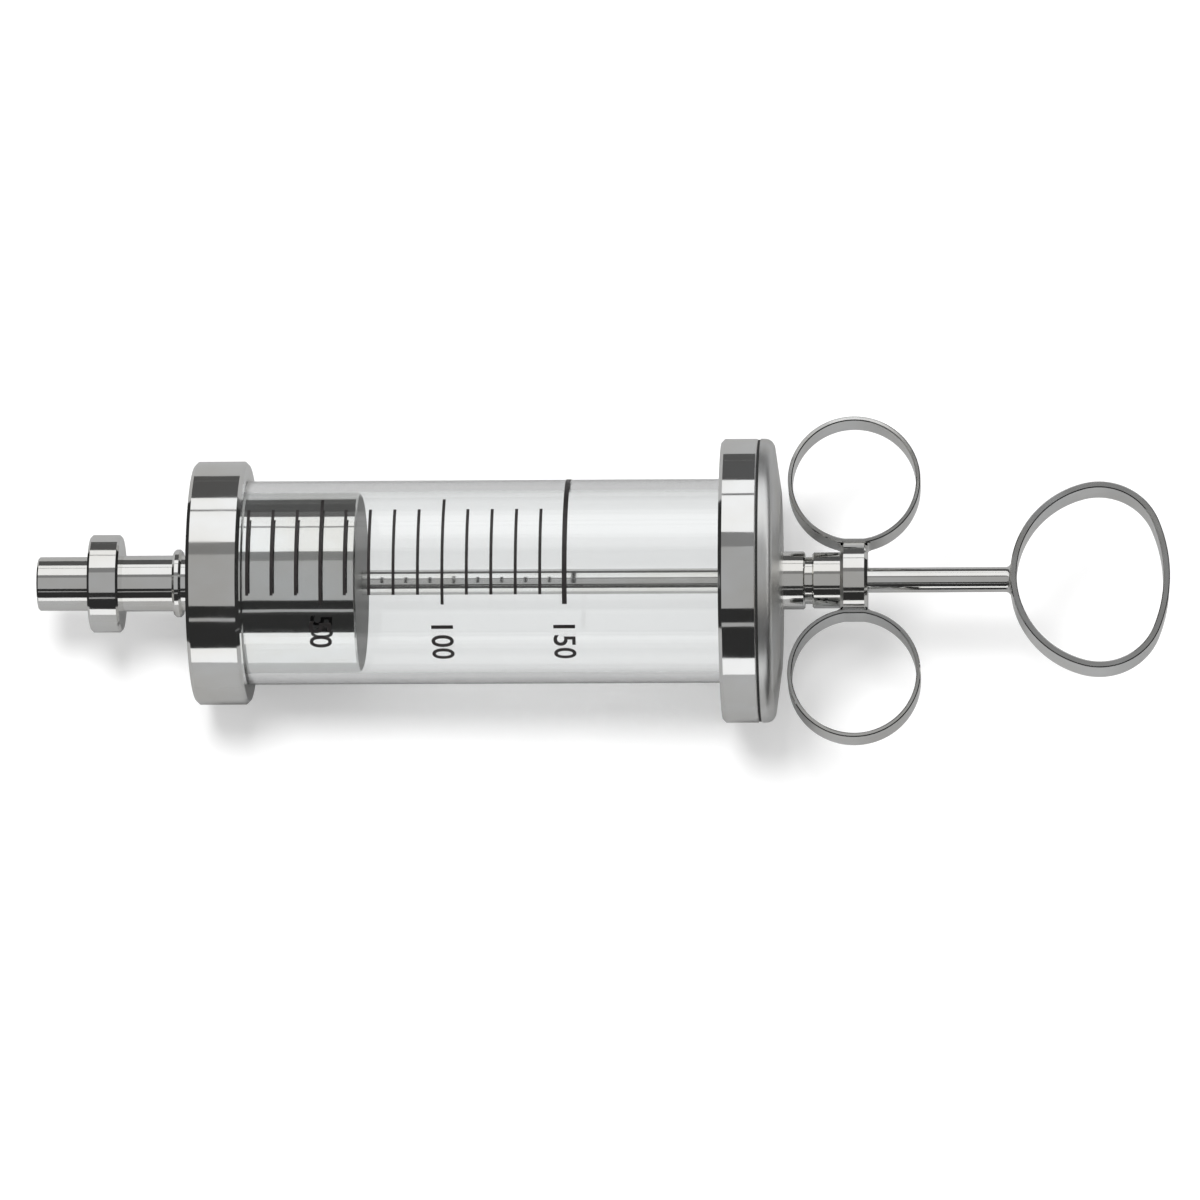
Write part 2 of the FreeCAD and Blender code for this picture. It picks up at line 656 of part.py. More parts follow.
def make_pieces():
    """Every piece of the syringe by its name, along the axis of the syringe."""
    first_o_ring_x, second_o_ring_x = o_ring_stations()
    return {
        "catheter_tip": make_catheter_tip(),
        "tip_washer": make_tip_washer(),
        "neck_tube": make_neck_tube(),
        "front_cap": make_front_cap(),
        "front_gasket": make_gasket(CAP_FLOOR_X, FRONT_GASKET_THICKNESS),
        "glass_barrel": make_glass_barrel(),
        "graduation_lines": make_graduation_lines(),
        "rear_gasket": make_gasket(GLASS_END_X, REAR_GASKET_THICKNESS),
        "rear_ferrule": make_rear_ferrule(),
        "rear_cover": make_rear_cover(),
        "guide_bush": make_guide_bush(),
        "rod_seal": make_rod_seal(),
        "grip_hub": make_grip_hub(),
        "finger_ring_left": make_finger_ring(1),
        "finger_ring_right": make_finger_ring(-1),
        "piston_body": make_piston_body(),
        "piston_front_plate": make_piston_front_plate(),
        "o_ring_front": make_o_ring(first_o_ring_x),
        "o_ring_rear": make_o_ring(second_o_ring_x),
        "piston_rod": make_piston_rod(),
        "piston_washer": make_piston_washer(),
        "piston_nut": make_piston_nut(),
        "thumb_ring": make_thumb_ring(),
    }


def main():
    """Makes the syringe, lays it on the table and writes one file for each piece."""
    os.makedirs("parts", exist_ok=True)
    pieces = make_pieces()
    lay_down(pieces)
    for name, shape in pieces.items():
        shape.exportStep("parts/" + name + ".step")


main()
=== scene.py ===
import json
import math

import bmesh
import bpy
from bpy.props import FloatProperty, FloatVectorProperty, IntProperty, PointerProperty
from mathutils import Matrix, Vector


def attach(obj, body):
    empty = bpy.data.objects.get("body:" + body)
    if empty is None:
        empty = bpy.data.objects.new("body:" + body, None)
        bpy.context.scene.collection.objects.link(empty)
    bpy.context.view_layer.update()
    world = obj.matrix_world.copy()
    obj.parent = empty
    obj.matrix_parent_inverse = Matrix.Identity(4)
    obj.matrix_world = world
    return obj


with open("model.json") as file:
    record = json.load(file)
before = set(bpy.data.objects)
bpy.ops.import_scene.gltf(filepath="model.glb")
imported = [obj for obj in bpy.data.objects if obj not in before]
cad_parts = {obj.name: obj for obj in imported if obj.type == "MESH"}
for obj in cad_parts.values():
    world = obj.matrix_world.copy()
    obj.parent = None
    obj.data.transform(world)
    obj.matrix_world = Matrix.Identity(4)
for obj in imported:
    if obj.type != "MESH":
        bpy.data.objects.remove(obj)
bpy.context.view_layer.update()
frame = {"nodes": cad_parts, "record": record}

bl_info = {
    "name": "Catheter tip syringe",
    "version": (1, 0, 0),
    "blender": (4, 5, 0),
    "location": "3D View > Sidebar > Syringe",
    "description": "Finishes and small parts of a glass and metal irrigation syringe",
    "category": "Object",
}

# Sizes that part.py gives the metal and the glass, in syringe millimetres: u along the axis
# from the mouth of the tip, y across the rings, n upwards from the plane of the rings.
GLASS_RADIUS = 25.5
FIRST_LINE_U = 54.65
LINE_SPACING = 6.06
LONG_LINE_INDEXES = (3, 8, 13)
# Volumes in ml beside the long lines, at the 10 ml a line that is assumed
LONG_LINE_NUMBERS = ("50", "100", "150")
CAP_FACE_U = 39.75
NECK_RADIUS = 7.0
NOSE_START_U = 12.5
NOSE_END_U = 21.0
NOSE_RADIUS = 5.0
PISTON_REAR_U = 81.4
JOINT_U = 181.5
JOINT_RADIUS = 35.5
COVER_SPIGOT_START_U = 179.0
COVER_SPIGOT_END_U = 181.5
COVER_SPIGOT_RADIUS = 30.92
ROD_RADIUS = 3.125
ROD_RING_U = 243.55
SADDLE_FRONT_U = 201.25
SADDLE_REAR_U = 208.05
FOOT_Y = 8.6
MM = 0.001

# The numerals: the share of the font's size that a figure is high, the spacing and the extra
# stroke of the figures, and the width in mm of the slices that bend round the glass
FIGURE_SHARE = 0.73
FIGURE_SPACING = 1.06
FIGURE_STROKE = 0.09
SLICE_WIDTH = 0.6

# How a foot's solder bead thins out: height from its middle in mm, and share of its full size
BEAD_STEPS = ((2.0, 0.92), (3.2, 0.7), (3.9, 0.25))

# The joint ring, in mm: how deep it lies under the rim and how thick and long it is
JOINT_RING_SUNK = 0.25
JOINT_RING_BACK = 1.1
JOINT_RING_LENGTH = 0.75
JOINT_RING_GAP = 0.02
JOINT_RING_LAP = 0.55
JOINT_RING_EDGE = 0.12

# The neck's thread is coarser and shallower than the cover's fine one.
NECK_THREAD_DEPTH = 0.9
NECK_THREAD_PITCH = 1.2
COVER_THREAD_PITCH = 0.8
COVER_THREAD_STEPS = 160

# The piston's turned rear wall, whose tool rings are coarser than life so that they show
REAR_WALL_GREY = "#8C8B89"
REAR_WALL_RINGS = 0.9
REAR_WALL_ROUGHNESS = 0.42
PISTON_SIDE_ROUGHNESS = 0.055


def syringe_to_row():
    """The matrix from syringe millimetres to the row frame in metres."""
    mouth = next(m for m in frame["record"]["mounts"] if m["name"] == "catheter_tip_mouth")
    backwards = -Vector(mouth["axis"])
    tilt = math.atan2(backwards.z, backwards.x)
    origin = Vector((mouth["pos_m"][0], 0, mouth["pos_m"][2]))
    return Matrix.Translation(origin) @ Matrix.Rotation(-tilt, 4, "Y") @ Matrix.Scale(MM, 4)


ROW = syringe_to_row()
TILT = math.atan2(ROW.col[0].z, ROW.col[0].x)
AXIS_HEIGHT = ROW.translation.z * math.cos(TILT) - ROW.translation.x * math.sin(TILT)
AXIS_START = (ROW.translation.x * math.cos(TILT) + ROW.translation.z * math.sin(TILT)) / MM


def linear(hex_colour):
    """An sRGB hex colour as linear red, green and blue."""
    channels = [int(hex_colour[start:start + 2], 16) / 255 for start in (1, 3, 5)]
    return tuple(c / 12.92 if c <= 0.04045 else ((c + 0.055) / 1.055) ** 2.4 for c in channels)


class SyringeSizes(bpy.types.PropertyGroup):
    """Sizes of the small parts that the solids leave to this file."""

    numeral_height: FloatProperty(
        name="Numeral height", description="Height of the enamel numbers, in mm", default=5.6
    )
    numeral_start: FloatProperty(
        name="Numeral start",
        description="Angle from the top of the barrel at which a number starts",
        default=math.radians(-37.5),
        subtype="ANGLE",
    )
    enamel_thickness: FloatProperty(
        name="Enamel thickness", description="How far the numbers stand proud, in mm", default=0.1
    )
    solder_leg: FloatProperty(
        name="Solder fillet", description="Leg of the silver solder fillets, in mm", default=1.1
    )
    thread_pitch: FloatProperty(
        name="Thread pitch", description="Pitch of the screw threads, in mm", default=1.0
    )
    thread_depth: FloatProperty(
        name="Thread depth", description="How far a thread's crest stands proud, in mm",
        default=0.3,
    )
    turning_steps: IntProperty(
        name="Turning steps", description="Facets round each turned fillet", default=96
    )


class SyringeFinishes(bpy.types.PropertyGroup):
    """Colours of the finishes."""

    chromium: FloatVectorProperty(
        name="Chromium", description="Polished chromium plate", subtype="COLOR",
        default=linear("#ECEDED"),
    )
    worn_chromium: FloatVectorProperty(
        name="Worn chromium", description="Plate worn thin over the brass", subtype="COLOR",
        default=linear("#DEDBD4"),
    )
    glass: FloatVectorProperty(
        name="Glass", description="Clear drawn glass", subtype="COLOR", default=linear("#FDFEFE")
    )
    enamel: FloatVectorProperty(
        name="Enamel", description="Fired dark enamel", subtype="COLOR", default=linear("#1D1A1A")
    )
    rubber: FloatVectorProperty(
        name="Rubber", description="Black rubber", subtype="COLOR", default=linear("#262626")
    )
    fibre: FloatVectorProperty(
        name="Fibre", description="Pale vulcanised fibre sheet", subtype="COLOR",
        default=linear("#DDD7CB"),
    )
    bronze: FloatVectorProperty(
        name="Bronze", description="Turned bronze", subtype="COLOR", default=linear("#C79A5B")
    )
    steel: FloatVectorProperty(
        name="Steel", description="Stainless steel", subtype="COLOR", default=linear("#C9CACB")
    )


def add_node(tree, kind, settings=None, links=None):
    """Adds a node. Settings name its attributes or its sockets, and links name its sockets."""
    node = tree.nodes.new(kind)
    for key, value in (settings or {}).items():
        if key in node.inputs.keys() or isinstance(key, int):
            node.inputs[key].default_value = value
        else:
            setattr(node, key, value)
    for socket, source in (links or {}).items():
        tree.links.new(source, node.inputs[socket])
    return node


def new_material(name):
    """An empty material with its output node, ready for its shader."""
    material = bpy.data.materials.new(name)
    material.use_nodes = True
    tree = material.node_tree
    tree.nodes.clear()
    output = add_node(tree, "ShaderNodeOutputMaterial")
    return material, tree, output


def along_axis(tree, spacing):
    """Object coordinates turned to the syringe's axis, divided by spacings in mm."""
    place = add_node(tree, "ShaderNodeTexCoord")
    scale = tuple(1 / (MM * size) for size in spacing)
    turned = add_node(
        tree,
        "ShaderNodeMapping",
        {"vector_type": "POINT", "Rotation": (0, TILT, 0)},
        {"Vector": place.outputs["Object"]},
    )
    return add_node(
        tree, "ShaderNodeMapping", {"Scale": scale}, {"Vector": turned.outputs["Vector"]}
    ).outputs["Vector"]


def noise_between(tree, spacing, detail, low, high):
    """Noise whose grains have the spacings in mm, spread to run between two values."""
    grain = add_node(
        tree,
        "ShaderNodeTexNoise",
        {"Scale": 1.0, "Detail": detail, "Roughness": 0.55},
        {"Vector": along_axis(tree, spacing)},
    )
    return add_node(
        tree,
        "ShaderNodeMapRange",
        {"From Min": 0.35, "From Max": 0.65, "To Min": low, "To Max": high},
        {"Value": grain.outputs["Fac"]},
    ).outputs["Result"]


def bump_from(tree, height, depth_mm, earlier=None):
    """A bump whose height runs over a depth in mm, laid over an earlier one."""
    links = {"Height": height}
    if earlier:
        links["Normal"] = earlier
    return add_node(
        tree, "ShaderNodeBump", {"Strength": 1.0, "Distance": depth_mm * MM}, links
    ).outputs["Normal"]


def mixed_colour(tree, factor, first, second):
    """A colour that runs from the first to the second with the factor."""
    return add_node(
        tree,
        "ShaderNodeMix",
        {"data_type": "RGBA", 6: (*first, 1), 7: (*second, 1)},
        {0: factor},
    ).outputs[2]


def radius_from_axis(tree):
    """The distance from the syringe's axis, in mm."""
    centred = add_node(
        tree,
        "ShaderNodeVectorMath",
        {"operation": "MULTIPLY_ADD", 1: (0, 1, 1), 2: (0, 0, -AXIS_HEIGHT / MM)},
        {0: along_axis(tree, (1, 1, 1))},
    )
    return add_node(
        tree, "ShaderNodeVectorMath", {"operation": "LENGTH"}, {0: centred.outputs[0]}
    ).outputs["Value"]


def past_plane(tree, plane_mm):
    """One behind a plane across the syringe's axis, and zero in front of it."""
    place = add_node(
        tree, "ShaderNodeSeparateXYZ", {}, {"Vector": along_axis(tree, (1, 1, 1))}
    )
    return add_node(
        tree,
        "ShaderNodeMapRange",
        {"From Min": AXIS_START + plane_mm - 0.1, "From Max": AXIS_START + plane_mm},
        {"Value": place.outputs["X"]},
    ).outputs["Result"]


def chromium_plate(name, finishes, buff_spacing, wave_mm, roughness, satin=0.0):
    """Bright chromium plate on brass, turned, buffed by hand and then handled."""
    material, tree, output = new_material(name)
    # The buffing wheel leaves soft waves, so the edges of the reflections wander a little.
    waves = bump_from(tree, noise_between(tree, (14, 9, 9), 1, 0, 1), wave_mm)
    # Fine lines from the lathe and the mop catch the light round the axis.
    lines = bump_from(tree, noise_between(tree, buff_spacing, 2, 0, 1), 0.0006, waves)
    # Wiping dulls the plate in soft patches.
    dulled = noise_between(tree, (11, 7, 7), 4, roughness * 0.75, roughness * 1.7)
    if satin:
        # The cover's rim is left with the satin of the emery, and only its boss is mopped.
        rim = add_node(
            tree, "ShaderNodeMapRange", {"From Min": 7.5, "From Max": 9, "To Max": satin},
            {"Value": radius_from_axis(tree)},
        )
        dulled = add_node(
            tree, "ShaderNodeMath", {"operation": "ADD"}, {0: dulled, 1: rim.outputs["Result"]}
        ).outputs[0]
    thin = noise_between(tree, (23, 15, 15), 3, 0.0, 0.55)
    shader = add_node(
        tree,
        "ShaderNodeBsdfPrincipled",
        {"Metallic": 1.0},
        {
            "Base Color": mixed_colour(tree, thin, finishes.chromium, finishes.worn_chromium),
            "Roughness": dulled,
            "Normal": lines,
        },
    )
    tree.links.new(shader.outputs[0], output.inputs["Surface"])
    return material


def piston_plate(finishes):
    """Bright plate round the piston, while its rear wall is left as turned: dull grey metal."""
    material, tree, output = new_material("chromium_plate_piston")
    rear = past_plane(tree, PISTON_REAR_U)
    waves = bump_from(tree, noise_between(tree, (14, 9, 9), 1, 0, 1), 0.010)
    # The lathe's tool leaves rings on the rear wall.
    turns = add_node(
        tree, "ShaderNodeMath", {"operation": "MULTIPLY", 1: 2 * math.pi / REAR_WALL_RINGS},
        {0: radius_from_axis(tree)},
    )
    rings = add_node(tree, "ShaderNodeMath", {"operation": "SINE"}, {0: turns.outputs[0]})
    cut = add_node(
        tree, "ShaderNodeMath", {"operation": "MULTIPLY"}, {0: rings.outputs[0], 1: rear}
    )
    turned = bump_from(tree, cut.outputs[0], 0.012, waves)
    bright = mixed_colour(
        tree, noise_between(tree, (23, 15, 15), 3, 0.0, 0.55), finishes.chromium,
        finishes.worn_chromium,
    )
    dull = add_node(
        tree, "ShaderNodeMix", {"data_type": "RGBA", 7: (*linear(REAR_WALL_GREY), 1)},
        {0: rear, 6: bright},
    )
    shader = add_node(
        tree,
        "ShaderNodeBsdfPrincipled",
        {"Metallic": 1.0},
        {
            "Base Color": dull.outputs[2],
            "Roughness": add_node(
                tree, "ShaderNodeMapRange",
                {"To Min": PISTON_SIDE_ROUGHNESS, "To Max": REAR_WALL_ROUGHNESS}, {"Value": rear},
            ).outputs["Result"],
            "Normal": turned,
        },
    )
    tree.links.new(shader.outputs[0], output.inputs["Surface"])
    return material


def drawn_glass(finishes):
    """Clear tube glass: drawn lengthwise, so it has faint long streaks and no grain."""
    material, tree, output = new_material("drawn_borosilicate_glass")
    streaks = bump_from(tree, noise_between(tree, (160, 2.2, 2.2), 1, 0, 1), 0.0025)
    shader = add_node(
        tree,
        "ShaderNodeBsdfPrincipled",
        {
            "Base Color": (*finishes.glass, 1),
            "Metallic": 0.0,
            "Roughness": 0.0,
            "IOR": 1.47,
            "Transmission Weight": 1.0,
        },
        {"Normal": streaks},
    )
    tree.links.new(shader.outputs[0], output.inputs["Surface"])
    return material


def fired_enamel(finishes):
    """Ceramic enamel printed on the glass and fired: satin, with pinholes and thin spots."""
    material, tree, output = new_material("fired_enamel")
    thin = noise_between(tree, (1.1, 0.9, 0.9), 4, 0.0, 1.0)
    pits = bump_from(tree, noise_between(tree, (0.3, 0.3, 0.3), 2, 0, 1), 0.02)
    lighter = [channel * 1.8 for channel in finishes.enamel]
    shader = add_node(
        tree,
        "ShaderNodeBsdfPrincipled",
        {"Metallic": 0.0, "IOR": 1.5},
        {
            "Base Color": mixed_colour(tree, thin, finishes.enamel, lighter),
            "Roughness": noise_between(tree, (0.8, 0.8, 0.8), 2, 0.28, 0.5),
            "Normal": pits,
        },
    )
    tree.links.new(shader.outputs[0], output.inputs["Surface"])
    return material


def plain_finish(name, colour, metallic, roughness, grain_mm, depth_mm, shade):
    """A dull finish with a fine grain, lighter and darker by a share of its colour."""
    material, tree, output = new_material(name)
    grain = noise_between(tree, (grain_mm, grain_mm, grain_mm), 3, 0.0, 1.0)
    darker = [channel * shade for channel in colour]
    shader = add_node(
        tree,
        "ShaderNodeBsdfPrincipled",
        {"Metallic": metallic},
        {
            "Base Color": mixed_colour(tree, grain, colour, darker),
            "Roughness": noise_between(
                tree, (grain_mm * 3, grain_mm, grain_mm), 2, roughness * 0.8, roughness * 1.2
            ),
            "Normal": bump_from(tree, grain, depth_mm),
        },
    )
    tree.links.new(shader.outputs[0], output.inputs["Surface"])
    return material


def keep_piece(bm, name, material, body):
    """Puts a finished bmesh, modelled in syringe millimetres, into the scene on its body."""
    bmesh.ops.transform(bm, matrix=ROW, verts=bm.verts)
    bmesh.ops.recalc_face_normals(bm, faces=bm.faces)
    mesh = bpy.data.meshes.new(name)
    bm.to_mesh(mesh)
    bm.free()
    mesh.materials.append(bpy.data.materials[material])
    mesh.polygons.foreach_set("use_smooth", [True] * len(mesh.polygons))
    mesh.set_sharp_from_angle(angle=math.radians(40))
    piece = bpy.data.objects.new(name, mesh)
    bpy.context.scene.collection.objects.link(piece)
    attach(piece, body)
    return piece


def concave_profile(corner, leg_u, leg_v, sunk, steps):
    """A solder fillet's section: two legs from a corner, closed by a hollow arc."""
    corner_u, corner_v = corner
    points = [(corner_u - sunk * leg_u, corner_v - sunk * leg_v)]
    points.append((corner_u + leg_u, corner_v - sunk * leg_v))
    for step in range(steps + 1):
        angle = math.pi / 2 * step / steps
        points.append((corner_u + leg_u * (1 - math.sin(angle)),
                       corner_v + leg_v * (1 - math.cos(angle))))
    points.append((corner_u - sunk * leg_u, corner_v + leg_v))
    return points


def spin_profile(bm, profile, steps):
    """Spins a closed section, given as u and radius, round the syringe's axis."""
    corners = [bm.verts.new((u, radius, 0)) for u, radius in profile]
    edges = [bm.edges.new(pair) for pair in zip(corners, corners[1:] + corners[:1])]
    bmesh.ops.spin(
        bm, geom=corners + edges, cent=(0, 0, 0), axis=(1, 0, 0), angle=2 * math.pi,
        steps=steps, use_merge=True, use_duplicate=False,
    )


def spin_thread(bm, start_u, end_u, radius, depth, pitch, steps_a_turn=64):
    """Runs a pointed ridge round a radius from start to end, one pitch forward each turn."""
    half = pitch * 0.36
    sunk = 0.25
    section = [(-half, radius - sunk), (-half * 0.8, radius), (-pitch * 0.06, radius + depth),
               (pitch * 0.06, radius + depth), (half * 0.8, radius), (half, radius - sunk)]
    corners = [bm.verts.new((start_u + half + u, v, 0)) for u, v in section]
    face = bm.faces.new(corners)
    turns = (end_u - start_u - 2 * half) / pitch
    steps = round(turns * steps_a_turn)
    bmesh.ops.spin(
        bm, geom=[face], cent=(0, 0, 0), axis=(1, 0, 0),
        angle=2 * math.pi * turns, steps=steps, dvec=(pitch * turns / steps, 0, 0),
        use_duplicate=False,
    )


class SYRINGE_OT_finishes(bpy.types.Operator):
    """Makes the materials and gives each solid its own"""

    bl_idname = "syringe.finishes"
    bl_label = "Finishes"

    def execute(self, context):
        finishes = context.scene.syringe_finishes
        chromium_plate("chromium_plate_turned", finishes, (0.35, 60, 60), 0.010, 0.055)
        chromium_plate("chromium_plate_satin", finishes, (0.9, 80, 80), 0.010, 0.055, 0.3)
        chromium_plate("chromium_plate_drawn", finishes, (60, 0.4, 0.4), 0.004, 0.06)
        chromium_plate("chromium_plate_strip", finishes, (8, 8, 0.5), 0.006, 0.08)
        piston_plate(finishes)
        drawn_glass(finishes)
        fired_enamel(finishes)
        plain_finish("moulded_rubber", finishes.rubber, 0.0, 0.6, 0.4, 0.01, 1.5)
        plain_finish("vulcanised_fibre", finishes.fibre, 0.0, 0.65, 0.5, 0.02, 0.7)
        plain_finish("turned_bronze", finishes.bronze, 1.0, 0.28, 0.3, 0.004, 0.85)
        plain_finish("turned_steel", finishes.steel, 1.0, 0.22, 0.3, 0.003, 0.85)
        finish_of = {
            "catheter_tip": "chromium_plate_turned",
            "neck_tube": "chromium_plate_turned",
            "front_cap": "chromium_plate_turned",
            "rear_ferrule": "chromium_plate_turned",
            "rear_cover": "chromium_plate_satin",
            "grip_hub": "chromium_plate_turned",
            "piston_body": "chromium_plate_piston",
            "piston_front_plate": "chromium_plate_turned",
            "piston_rod": "chromium_plate_drawn",
            "finger_ring_left": "chromium_plate_strip",
            "finger_ring_right": "chromium_plate_strip",
            "thumb_ring": "chromium_plate_strip",
            "glass_barrel": "drawn_borosilicate_glass",
            "graduation_lines": "fired_enamel",
            "tip_washer": "vulcanised_fibre",
            "front_gasket": "vulcanised_fibre",
            "rear_gasket": "vulcanised_fibre",
            "rod_seal": "moulded_rubber",
            "o_ring_front": "moulded_rubber",
            "o_ring_rear": "moulded_rubber",
            "guide_bush": "turned_bronze",
            "piston_washer": "turned_steel",
            "piston_nut": "turned_steel",
        }
        if set(finish_of) != set(frame["nodes"]):
            raise RuntimeError("every solid needs a finish, and no other")
        for node, finish in finish_of.items():
            for slot in frame["nodes"][node].material_slots:
                slot.material = bpy.data.materials[finish]
        return {"FINISHED"}


class SYRINGE_OT_numbers(bpy.types.Operator):
    """Fires the numbers 50, 100 and 150 onto the glass beside the long lines"""

    bl_idname = "syringe.numbers"
    bl_label = "Graduation numbers"

    def execute(self, context):
        sizes = context.scene.syringe_sizes
        for index, number in zip(LONG_LINE_INDEXES, LONG_LINE_NUMBERS):
            curve = bpy.data.curves.new("number", "FONT")
            curve.body = number
            curve.size = sizes.numeral_height / FIGURE_SHARE
            curve.space_character = FIGURE_SPACING
            curve.offset = FIGURE_STROKE
            curve.resolution_u = 6
            writing = bpy.data.objects.new("number", curve)
            context.scene.collection.objects.link(writing)
            context.view_layer.update()
            flat = bpy.data.meshes.new_from_object(
                writing.evaluated_get(context.evaluated_depsgraph_get())
            )
            bpy.data.objects.remove(writing)
            bm = bmesh.new()
            bm.from_mesh(flat)
            bpy.data.meshes.remove(flat)
            bmesh.ops.remove_doubles(bm, verts=bm.verts, dist=0.001)
            reach = max(v.co.x for v in bm.verts)
            for cut in range(1, int(reach / SLICE_WIDTH) + 1):
                geometry = bm.verts[:] + bm.edges[:] + bm.faces[:]
                bmesh.ops.bisect_plane(
                    bm, geom=geometry, plane_co=(cut * SLICE_WIDTH, 0, 0), plane_no=(1, 0, 0)
                )
            lifted = bmesh.ops.extrude_face_region(bm, geom=bm.faces[:])
            raised = [g for g in lifted["geom"] if isinstance(g, bmesh.types.BMVert)]
            bmesh.ops.translate(bm, verts=raised, vec=(0, 0, sizes.enamel_thickness))
            middle_u = FIRST_LINE_U + index * LINE_SPACING
            surface = GLASS_RADIUS + 0.01
            for vert in bm.verts:
                angle = sizes.numeral_start - vert.co.x / surface
                radius = surface + vert.co.z
                along = middle_u + vert.co.y - sizes.numeral_height / 2
                vert.co = (along, radius * math.sin(angle), radius * math.cos(angle))
            keep_piece(bm, "number_" + number, "fired_enamel", "barrel")
        return {"FINISHED"}


class SYRINGE_OT_solder(bpy.types.Operator):
    """Runs silver solder fillets round the neck, the rod's end and the finger rings' feet"""

    bl_idname = "syringe.solder"
    bl_label = "Solder fillets"

    def execute(self, context):
        sizes = context.scene.syringe_sizes
        leg = sizes.solder_leg
        bm = bmesh.new()
        spin_profile(
            bm, concave_profile((CAP_FACE_U, NECK_RADIUS), -leg, leg, 0.15, 6),
            sizes.turning_steps,
        )
        keep_piece(bm, "neck_solder", "chromium_plate_turned", "barrel")
        bm = bmesh.new()
        spin_profile(
            bm, concave_profile((ROD_RING_U + 0.25, ROD_RADIUS), -leg * 1.2, leg * 1.2, 0.3, 6),
            sizes.turning_steps,
        )
        keep_piece(bm, "rod_solder", "chromium_plate_drawn", "rod")
        for side, ring in ((1, "left"), (-1, "right")):
            bm = bmesh.new()
            for end_u, outward in ((SADDLE_FRONT_U, -1), (SADDLE_REAR_U, 1)):
                self.make_bead(bm, end_u, outward * leg, side, leg)
            keep_piece(bm, "foot_solder_" + ring, "chromium_plate_strip", "cover")
        return {"FINISHED"}

    def make_bead(self, bm, end_u, leg_u, side, leg):
        """A bead along the end of the saddle, tapered to nothing at both ends of the foot."""
        section = concave_profile((end_u, FOOT_Y), leg_u, -leg, 0.08, 6)
        corners = [bm.verts.new((u, side * v, 0)) for u, v in section]
        ends = [(bm.faces.new(corners), 1)]
        copy = bmesh.ops.duplicate(bm, geom=[ends[0][0]])
        ends.append((next(g for g in copy["geom"] if isinstance(g, bmesh.types.BMFace)), -1))
        middle = Vector((end_u, side * FOOT_Y, 0))
        for face, direction in ends:
            for height, share in BEAD_STEPS:
                pulled = bmesh.ops.extrude_face_region(bm, geom=[face])
                verts = [g for g in pulled["geom"] if isinstance(g, bmesh.types.BMVert)]
                faces = [g for g in pulled["geom"] if isinstance(g, bmesh.types.BMFace)]
                bm.faces.remove(face)
                for vert in verts:
                    flat = Vector((vert.co.x, vert.co.y, 0)) - middle
                    vert.co = middle + flat * share + Vector((0, 0, direction * height))
                face = faces[0]
        bmesh.ops.remove_doubles(bm, verts=bm.verts, dist=0.0005)


class SYRINGE_OT_joint_ring(bpy.types.Operator):
    """Lays a thin black rubber ring in the joint between the ferrule and the cover"""

    bl_idname = "syringe.joint_ring"
    bl_label = "Joint ring"

    def execute(self, context):
        bm = bmesh.new()
        edge = JOINT_RING_EDGE
        outer = JOINT_RADIUS - JOINT_RING_SUNK
        inner = JOINT_RADIUS - JOINT_RING_BACK
        front = JOINT_U - JOINT_RING_LENGTH
        rear = JOINT_U - JOINT_RING_GAP
        section = ((front + JOINT_RING_LAP, inner), (rear, inner), (rear, outer - 0.1),
                   (rear - edge, outer), (front + edge, outer), (front, outer - edge))
        spin_profile(bm, section, context.scene.syringe_sizes.turning_steps * 2)
        keep_piece(bm, "joint_ring", "moulded_rubber", "barrel")
        return {"FINISHED"}


class SYRINGE_OT_threads(bpy.types.Operator):
    """Cuts the screw threads that show when the tip or the rear cover is off"""

    bl_idname = "syringe.threads"
    bl_label = "Screw threads"

    def execute(self, context):
        sizes = context.scene.syringe_sizes
        bm = bmesh.new()
        spin_thread(
            bm, NOSE_START_U + 0.4, NOSE_END_U - 0.6, NOSE_RADIUS,
            sizes.thread_depth * NECK_THREAD_DEPTH, sizes.thread_pitch * NECK_THREAD_PITCH,
        )
        keep_piece(bm, "neck_thread", "chromium_plate_turned", "barrel")
        bm = bmesh.new()
        spin_thread(
            bm, COVER_SPIGOT_START_U + 0.2, COVER_SPIGOT_END_U - 0.1, COVER_SPIGOT_RADIUS,
            sizes.thread_depth, sizes.thread_pitch * COVER_THREAD_PITCH, COVER_THREAD_STEPS,
        )
        keep_piece(bm, "cover_thread", "chromium_plate_turned", "cover")
        return {"FINISHED"}


# The light tent: strips of card bent round the syringe, each from one angle to the next in
# degrees from overhead, and the tone of its card. Only polished metal and glass see them.
TENT_RADIUS = 0.4
TENT_HALF_LENGTH = 0.7
TENT_AXIS_HEIGHT = 0.033
TENT_STRIPS = (
    (-94.5, -78.5, "white"),
    (-78.5, -51.5, "black"),
    (-51.5, -48.3, "grey"),
    (-48.3, -37, "black"),
    (-37, 10.5, "grey"),
    (10.5, 22, "slate"),
    (22, 54, "white"),
    (54, 56, "slate"),
    (56, 70, "white"),
    (70, 94.5, "charcoal"),
)
# More cards lie on the table or stand at the ends: low corner, high corner and tone
FLAT_CARDS = (
    ((-0.7, 0.19, 0.0006), (0.7, 0.4, 0.0006), "charcoal"),
    ((-0.2, -0.4, 0.0), (-0.2, 0.4, 0.11), "black"),
    ((0.3, -0.4, 0.0), (0.3, 0.4, 0.135), "black"),
    ((0.06, -0.3, 0.0006), (0.28, -0.07, 0.0006), "black"),
    ((-0.7, -0.4, 0.0003), (0.7, -0.068, 0.0003), "white_in_glass"),
)
CARD_LIGHT = {
    "white": 1.03, "grey": 0.42, "slate": 0.24, "charcoal": 0.1, "black": 0.03,
    "white_in_glass": 0.93,
}

